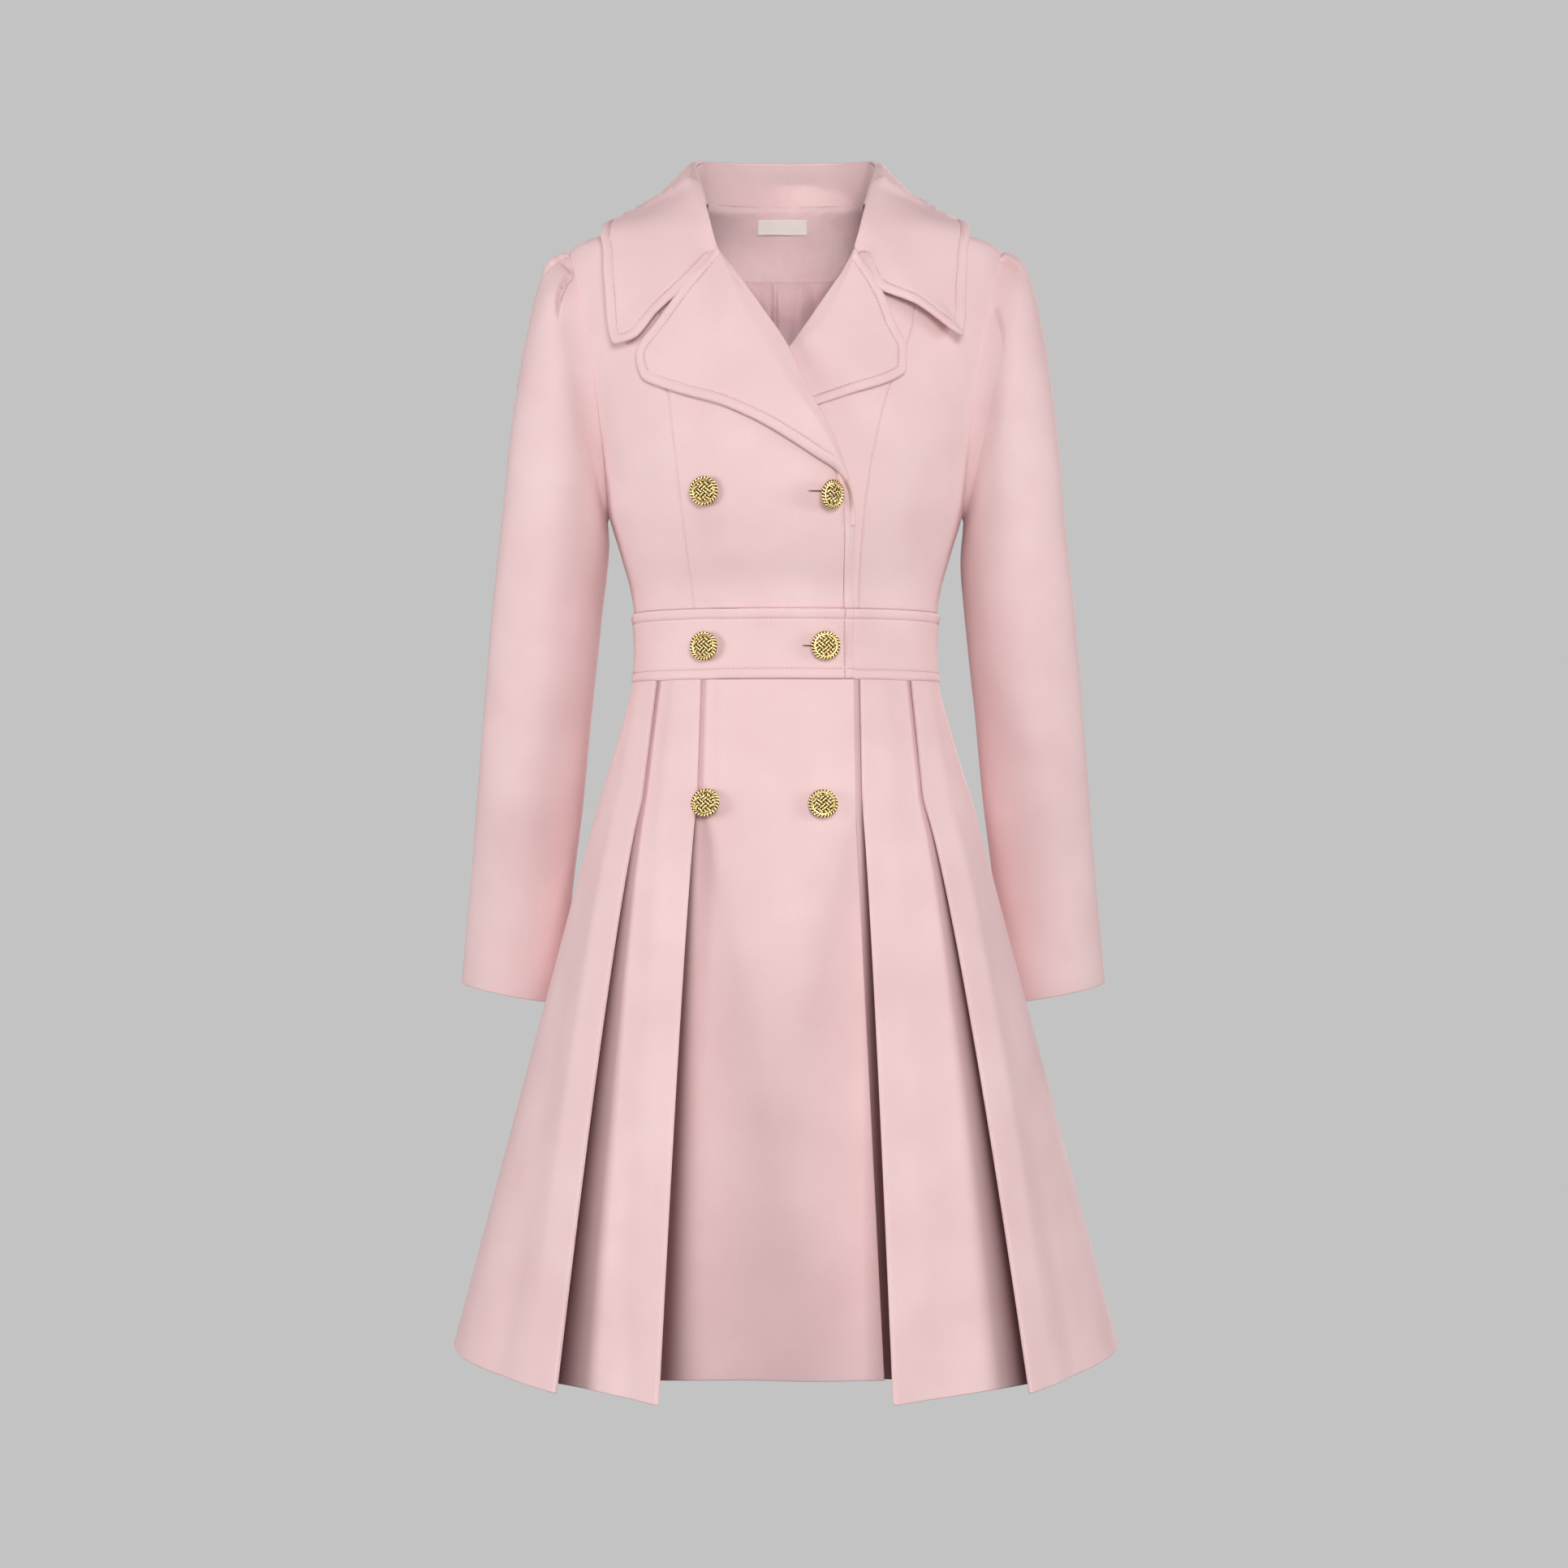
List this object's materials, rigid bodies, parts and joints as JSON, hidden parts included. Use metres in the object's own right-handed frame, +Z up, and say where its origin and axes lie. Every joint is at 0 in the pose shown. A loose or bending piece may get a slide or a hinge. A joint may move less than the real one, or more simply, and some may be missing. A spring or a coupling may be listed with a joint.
{
  "type": "tailored double-breasted coat",
  "caption": "Fitted and flared double-breasted coat with notched lapels, a waistband, knife pleats in the skirt, long sleeves and domed metal buttons, filled out as if worn.",
  "frame": {"origin": "middle of the neck base, level with the back neck seam, where the wearer's shoulders hold the coat up", "axes": "+Z up, +X to the wearer's left, -Y out of the front"},
  "size_m": [0.566, 0.441, 1.0189],
  "materials": {
    "coating": "brushed wool-blend coating, dusty pink, soft short nap",
    "lining": "smooth pink lining with a faint sheen",
    "gold_metal": "polished gold-coloured cast metal",
    "label": "off-white woven tape, blank"
  },
  "bodies": {
    "root": {"front_centre_right": "coating", "front_side_right": "coating", "front_centre_left": "coating", "front_side_left": "coating", "back_side_right": "coating", "back_side_left": "coating", "back_centre": "coating", "waistband_right": "coating", "waistband_left": "coating", "waistband_back": "coating", "skirt_mid_right": "coating", "skirt_mid_left": "coating", "skirt_back_mid_right": "coating", "skirt_back_mid_left": "coating", "skirt_side_right": "coating", "skirt_side_left": "coating", "skirt_back_side_right": "coating", "skirt_back_side_left": "coating", "skirt_front_right": "coating", "skirt_front_left": "coating", "skirt_back_centre": "coating", "sleeve_right": "coating", "sleeve_left": "coating", "lapel_right": "coating", "lapel_left": "coating", "collar_fall": "coating", "collar_stand": "coating", "back_neck_facing": "coating", "back_lining": "lining", "label": "label", "button_right_top": "gold_metal", "button_left_top": "gold_metal", "button_right_waist": "gold_metal", "button_left_waist": "gold_metal", "button_right_hip": "gold_metal", "button_left_hip": "gold_metal"}
  },
  "joints": []
}
